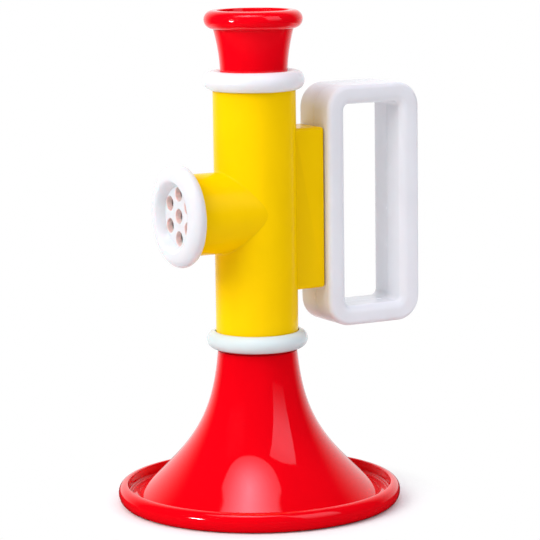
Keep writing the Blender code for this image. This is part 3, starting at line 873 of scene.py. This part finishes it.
outline = [(head_flat, head_height)]
rim = (screw_head - head_round, head_height - head_round)
outline += arc(rim, head_round, 90.0, 0.0, 8)
outline += [(screw_head, 0.0), (screw_radius + 0.0001, 0.0)]
angles = [math.tau * index / screw_sides for index in range(screw_sides)]
rows = []
for radius, height in outline:
    rows.append([(radius * math.cos(angle), radius * math.sin(angle), height) for angle in angles])
for step in range(thread_rows + 1):
    height = -thread_start - (screw_length - thread_start - tip_flat) * step / thread_rows
    taper = min(1.0, (height + screw_length) / tip_taper)
    row = []
    for angle in angles:
        lead = (height / thread_pitch - angle / math.tau) % 1.0
        ridge = max(0.0, 1.0 - abs(lead - 0.5) / thread_flank) * thread_height
        radius = core_radius * taper + ridge * min(1.0, taper * 1.2)
        row.append((radius * math.cos(angle), radius * math.sin(angle), height))
    rows.append(row)
screws = make("loop_screws", rows_mesh("loop_screws", rows), screw_finish)
for x, y in ((recess_long, recess_short), (recess_short, recess_long)):
    recess_low, recess_high = (-x, -y, head_height - recess_depth), (x, y, head_height + 0.001)
    join(screws, "DIFFERENCE", bar("recess", recess_low, recess_high, 0.0, screw_finish))


def fixing_tree():
    """Sets one screw at each corner of an upright rectangle, head towards the far side."""
    screw, across, along, centre, finish = open_tree(
        "fixing",
        (
            ("Screw", "Geometry"), ("Across", "Float"), ("Along", "Float"), ("Centre", "Vector"),
            ("Finish", "Material"),
        ),
    )
    points = screw.node(
        "GeometryNodeMeshGrid",
        {},
        {"Size X": across * 2.0, "Size Y": along * 2.0, "Vertices X": 2, "Vertices Y": 2},
    )
    laid = screw.node("GeometryNodeInstanceOnPoints", {}, {"Points": points, "Instance": screw})
    real = screw.node("GeometryNodeRealizeInstances", {}, {0: laid})
    upright = (-math.pi / 2.0, 0.0, 0.0)
    stood = screw.node(
        "GeometryNodeTransform", {}, {"Geometry": real, "Translation": centre, "Rotation": upright}
    )
    return close_tree(stood, finish)


centre = (loop_mid_x, head_seat + fit, mid_z)
grow(screws, fixing_tree(), Across=screw_across, Along=screw_along, Centre=centre, Finish=screw_finish)
smooth_over(screws)
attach(screws, "horn_body")
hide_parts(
    "handle_screw_upper_outer",
    "handle_screw_upper_inner",
    "handle_screw_lower_inner",
    "handle_screw_lower_outer",
)


# Bell: red gloss moulding, turned about the tube's axis. A thin wall flares from the neck to a rolled rim with
# a narrow trough behind it, and a spigot above the neck pushes up into the tube. A shallow relief round the neck
# keeps it clear of the ring above.
bell_height = 0.0588
bell_radius = 0.0517
bell_wall = 0.0019
neck_step = 0.0007
neck_radius = tube_radius - neck_step
spigot_length = 0.0160
spigot_end = bell_height + spigot_length
flare_length = 0.0130
flare_softness = 1.63
rim_width = 0.0035
rim_height = 0.0072
rim_widest = 0.0039
rim_crest = 0.0006
rim_inner_foot = 0.0008
trough_width = 0.0038
trough_height = 0.0034
trough_fillet = 0.0008
trough_bead = 0.0003
foot_round = 0.0015
relief_top = bell_height - 0.0012
relief_low = bell_height - 0.0026
relief_depth = 0.0007
bell_red = (0.780, 0.0004, 0.0055)


def flare_shape(height):
    """How far the flare has opened at a height, before it is fitted to the neck and the foot."""
    fall = math.exp(-height / flare_length)
    return fall / (1.0 + flare_softness * fall)


def flare_radius(height):
    start = flare_shape(bell_height)
    share = (flare_shape(height) - start) / (flare_shape(trough_height) - start)
    return neck_radius + (bell_radius - rim_width - trough_width - neck_radius) * share


def flare_point(height, offset):
    """Point on the flare, or this far out from it along its normal."""
    step = 0.00001
    slope = (flare_radius(height + step) - flare_radius(height - step)) / (2.0 * step)
    length = math.hypot(1.0, slope)
    return flare_radius(height) + offset / length, height - offset * slope / length


def height_where(reached):
    """Height at which a falling measure of the flare comes to nought."""
    low, high = -0.01, bell_height
    for _ in range(50):
        middle_height = (low + high) / 2.0
        if reached(middle_height) > 0.0:
            low = middle_height
        else:
            high = middle_height
    return (low + high) / 2.0


rim_inner = bell_radius - rim_width
crest_r = rim_inner + rim_crest
bulge = bell_radius - crest_r
under = height_where(lambda z: rim_inner_foot - flare_point(z, -bell_wall)[1])
spigot_bore = skirt_radius - bell_wall
outline = [(skirt_radius - fit, spigot_end), (skirt_radius, spigot_end - 3.0 * fit)]
outline += arc((skirt_radius + fit, bell_height + fit), fit, 180.0, 270.0, 4)
neck_edge = flare_radius(bell_height)
outline += arc((neck_edge - fit, bell_height - fit), fit, 90.0, 0.0, 5)
foot_slope = (flare_radius(trough_height) - flare_radius(trough_height + fit)) / fit
lean = math.atan(foot_slope)
foot_top = trough_height + foot_round * (1.0 - math.sin(lean))
outline.append(flare_point(relief_top, 0.0))
outline += [(flare_radius(height) - relief_depth, height) for height in (relief_top, relief_low)]
for step in range(81):
    share = (1.0 - step / 80.0) ** 1.5
    outline.append(flare_point(foot_top + (relief_low - foot_top) * share, 0.0))
foot_r = flare_radius(foot_top) + foot_round * math.cos(lean)
foot = (foot_r, trough_height + foot_round)
outline += arc(foot, foot_round, 180.0 + math.degrees(lean), 270.0, 10)[1:]
bead_r = rim_inner - trough_fillet - 2.0 * trough_bead
outline += arc((bead_r, trough_height), trough_bead, 180.0, 0.0, 10)
corner = (rim_inner - trough_fillet, trough_height + trough_fillet)
outline += arc(corner, trough_fillet, -90.0, 0.0, 12)
outline += arc((crest_r, rim_height - rim_crest), rim_crest, 180.0, 90.0, 10)
outline += arc((crest_r, rim_widest), (bulge, rim_height - rim_widest), 90.0, 0.0, 20)[1:]
outline += arc((crest_r, rim_widest), (bulge, rim_widest), 0.0, -90.0, 20)[1:]
under_r = flare_point(under, -bell_wall)[0]
outline.append((under_r + rim_inner_foot / 2.0, 0.0))
for step in range(61):
    share = (step / 60.0) ** 1.5
    outline.append(flare_point(under + (bell_height - 4.0 * bell_wall - under) * share, -bell_wall))
outline += [(spigot_bore, bell_height - bell_wall), (spigot_bore, spigot_end), outline[0]]
bell_plastic = moulded("bell_plastic", bell_red, 0.045, (1.0, 1.0, 0.2), 6.1)
bell = turned("horn_bell", outline, bell_plastic, 200)
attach(bell, "bell")
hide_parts("bell")


# Lower collar: pale mint ring, slightly milky, that sits between tube and bell. It is a loose moulded hoop with
# a thin web trapped between the two, so it can be spun round the neck.
web_low = bell_height + fit
web_thickness = 0.0012
web_high = web_low + web_thickness
lower_bead = 0.00312
lower_overhang = 0.00344
mint = (0.665, 0.750, 0.755)

bead = (tube_radius + lower_overhang - lower_bead, web_high)
neck_side = flare_radius(web_low - lower_bead) + fit
top = math.degrees(math.acos((tube_side - bead[0]) / lower_bead))
bottom = -math.degrees(math.acos((neck_side - bead[0]) / lower_bead))
outline = arc(bead, lower_bead, top, bottom, 48)
outline += [(neck_side, web_low), (tube_bore, web_low), (tube_bore, web_high), (tube_side, web_high)]
outline.append(outline[0])
mint_plastic = moulded("mint_plastic", mint, 0.18, (0.4, 0.4, 1.0), 13.5, softness=0.25)
lower_ring = turned("lower_ring", outline, mint_plastic)
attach(lower_ring, "lower_collar")
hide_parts("lower_collar")


# Studio: a round pale table under the horn and a white backdrop behind it. A round light with one side flagged
# off hangs overhead, a tall panel with its top flagged off stands to the camera's right, a soft key to its left
# doesn't show in the gloss, and two narrow beams pick out the rolled lips. Dark space in front deepens colours.
overhead_size = (1.16, 0.94)
overhead_oval = (2.15, 2.19)
right_size = (0.75, 1.36)
key_size = (0.75, 0.75)
left_turn = -52.0
glint_spread = math.radians(15.0)
panel_tint = (0.97, 0.97, 1.18)
plain_white = (1.0, 1.0, 1.0, 1.0)
table_radius = 0.45
table_drop = 0.0001
camera_turn = math.radians(-28.5)
right_way = Vector((math.cos(camera_turn), math.sin(camera_turn), 0.0))
back_way = Vector((-math.sin(camera_turn), math.cos(camera_turn), 0.0))


def studio_point(right, back, height):
    """A point given by how far it lies to the camera's right, away from it and above the table."""
    return right_way * right + back_way * back + Vector((0.0, 0.0, height))


def hung(light, place, facing):
    holder = bpy.data.objects.new(light.name, light)
    holder.location, holder.rotation_euler = place, facing
    bpy.context.scene.collection.objects.link(holder)
    return holder


def aimed(light, turn, rise, distance, aim):
    """Hangs a light at a turn to the camera's right and a rise above the table, looking at a point."""
    turn, rise = math.radians(turn), math.radians(rise)
    flat = math.cos(rise)
    way = studio_point(math.sin(turn) * flat, -math.cos(turn) * flat, math.sin(rise))
    return hung(light, aim + way * distance, (-way).to_track_quat("-Z", "Y").to_euler())


def panel(name, size, power, shade=None):
    """A flat soft box; shade dims it over its width and height, each from 0 to 1."""
    light = bpy.data.lights.new(name, "AREA")
    light.shape = "RECTANGLE"
    light.size, light.size_y = size
    light.energy = power
    if shade:
        light.color = panel_tint
        light.use_nodes = True
        tree = light.node_tree
        face = Grade(tree, tree.nodes.new("ShaderNodeNewGeometry").outputs["Parametric"])
        tree.links.new(shade(*face.parts("XY")).socket, tree.nodes["Emission"].inputs["Strength"])
    return light


def round_with_hot_middle(width, height):
    """The overhead light: an oval brightest in its middle, cut off along one side by a slanting flag."""
    across = (width - 0.5) * overhead_oval[0]
    along = (height - 0.5) * overhead_oval[1]
    out = (across * across + along * along).maths("SQRT")
    inward = (1.0 - out).maths("MAXIMUM", 0.0)
    lit = (1.0 - out.between(0.96, 1.02)) * (0.18 + 0.82 * inward.maths("POWER", 1.6))
    return lit * (1.0 - ((height - 0.5) * overhead_size[1] + (width - 0.5) * 0.154).between(0.112, 0.136))


def flagged_and_graded(width, height):
    """The right panel: it fades towards its foot and a slanting flag cuts off its top."""
    across = (width - 0.5) * right_size[0]
    rise = (height - 0.5) * right_size[1]
    lit = 0.06 + 0.94 * rise.between(-0.74, 0.08) - 0.25 * rise.between(0.30, 0.60)
    return lit * (1.0 - (rise + 0.22 * across).between(0.57, 0.59))


overhead = panel("overhead", overhead_size, 20.0, round_with_hot_middle)
hung(overhead, studio_point(-0.17, -0.30, 1.31), (0.0, 0.0, camera_turn))
right_panel = panel("right_panel", right_size, 4.4, flagged_and_graded)
aimed(right_panel, 52.8, 34.5, 1.30, studio_point(0.0, 0.0, 0.06))
left_key = panel("left_key", key_size, 11.2)
aimed(left_key, left_turn, 35.0, 1.20, studio_point(0.0, 0.0, 0.08)).visible_glossy = False
for name, rise, distance, aim, size, power in (
    ("mouth_glint", 4.0, 0.40, studio_point(-0.0075, -0.014, lip_z), (0.08, 0.06), 0.0125),
    ("rim_glint", 12.0, 0.25, studio_point(-0.022, -0.046, rim_widest), (0.19, 0.03), 0.0090),
):
    light = panel(name, size, power)
    light.spread = glint_spread
    aimed(light, left_turn, rise, distance, aim).visible_diffuse = False


def arriving_rays(tree):
    """Whether light is looked up for the camera, for a reflection or through something clear."""
    rays = tree.nodes.new("ShaderNodeLightPath")
    kinds = ("Is Camera Ray", "Is Glossy Ray", "Is Transmission Ray")
    return [Grade(tree, rays.outputs[kind]) for kind in kinds]


def how_far_back(spot):
    """How far a place lies behind the horn, seen from the camera."""
    return spot.node("ShaderNodeVectorMath", {"operation": "DOT_PRODUCT"}, {0: spot, 1: back_way}, "Value")


world = bpy.data.worlds.new("studio")
bpy.context.scene.world = world
world.use_nodes = True
tree = world.node_tree
tree.nodes.clear()
spot = Grade(tree, tree.nodes.new("ShaderNodeTexCoord").outputs["Generated"])
camera_ray, glossy_ray, through_ray = arriving_rays(tree)
behind = how_far_back(spot)
backdrop = 0.01 + 0.99 * behind.between(0.35, 0.95)
strength = camera_ray + (1.0 - camera_ray) * backdrop
seen = spot.node("ShaderNodeBackground", {}, {"Color": plain_white, "Strength": strength})
strength = 0.480 + 0.74 * behind.between(-0.3, 0.8)
fill = spot.node("ShaderNodeBackground", {}, {"Color": plain_white, "Strength": strength})
looked_at = camera_ray.maths("MAXIMUM", glossy_ray.maths("MAXIMUM", through_ray))
sky = spot.node("ShaderNodeMixShader", {}, {0: looked_at, 1: fill, 2: seen})
tree.links.new(sky.socket, tree.nodes.new("ShaderNodeOutputWorld").inputs["Surface"])

table_finish, tree, shader, spot = start_finish("pale_table")
shader.inputs["Base Color"].default_value = (0.80, 0.80, 0.80, 1.0)
shader.inputs["Roughness"].default_value = 0.9
shader.inputs["Specular IOR Level"].default_value = 0.0
camera_ray, glossy_ray, through_ray = arriving_rays(tree)
rear = how_far_back(spot).between(0.02, 0.22)
out_from_horn = spot.node("ShaderNodeVectorMath", {"operation": "LENGTH"}, {0: spot}, "Value")
mirrored = glossy_ray * rear
looked_at = camera_ray.maths("MAXIMUM", mirrored.maths("MAXIMUM", through_ray))
glow = spot.node("ShaderNodeEmission", {}, {"Color": plain_white, "Strength": 1.0})
card = spot.node("ShaderNodeBsdfDiffuse", {}, {"Color": (0.0, 0.0, 0.0, 1.0)})
surface = Grade(tree, shader.outputs[0])
glowing = out_from_horn.between(0.047, 0.074) * looked_at
surface = spot.node("ShaderNodeMixShader", {}, {0: glowing, 1: surface, 2: glow})
surface = spot.node("ShaderNodeMixShader", {}, {0: glossy_ray * (1.0 - rear) * 0.97, 1: surface, 2: card})
tree.links.new(surface.socket, tree.nodes["Material Output"].inputs["Surface"])
bm = bmesh.new()
bmesh.ops.create_circle(bm, cap_ends=True, segments=96, radius=table_radius)
bmesh.ops.translate(bm, verts=bm.verts, vec=(0.0, 0.0, -table_drop))
make("table", meshed("table", bm), table_finish)


# Camera: a long lens a little under a metre away, somewhat higher than the mouthpiece and tipped down, as the
# photograph was taken.
lens = bpy.data.cameras.new("camera")
lens.sensor_width = 36.0
lens.lens = 172.636
lens.clip_start = 0.01
camera = bpy.data.objects.new("camera", lens)
camera.location = (-0.44334, -0.81653, 0.23135)
camera.rotation_euler = (math.radians(81.0671), math.radians(0.7227), math.radians(-28.9164))
bpy.context.scene.collection.objects.link(camera)
bpy.context.scene.camera = camera
bpy.context.scene.view_settings.view_transform = "Standard"
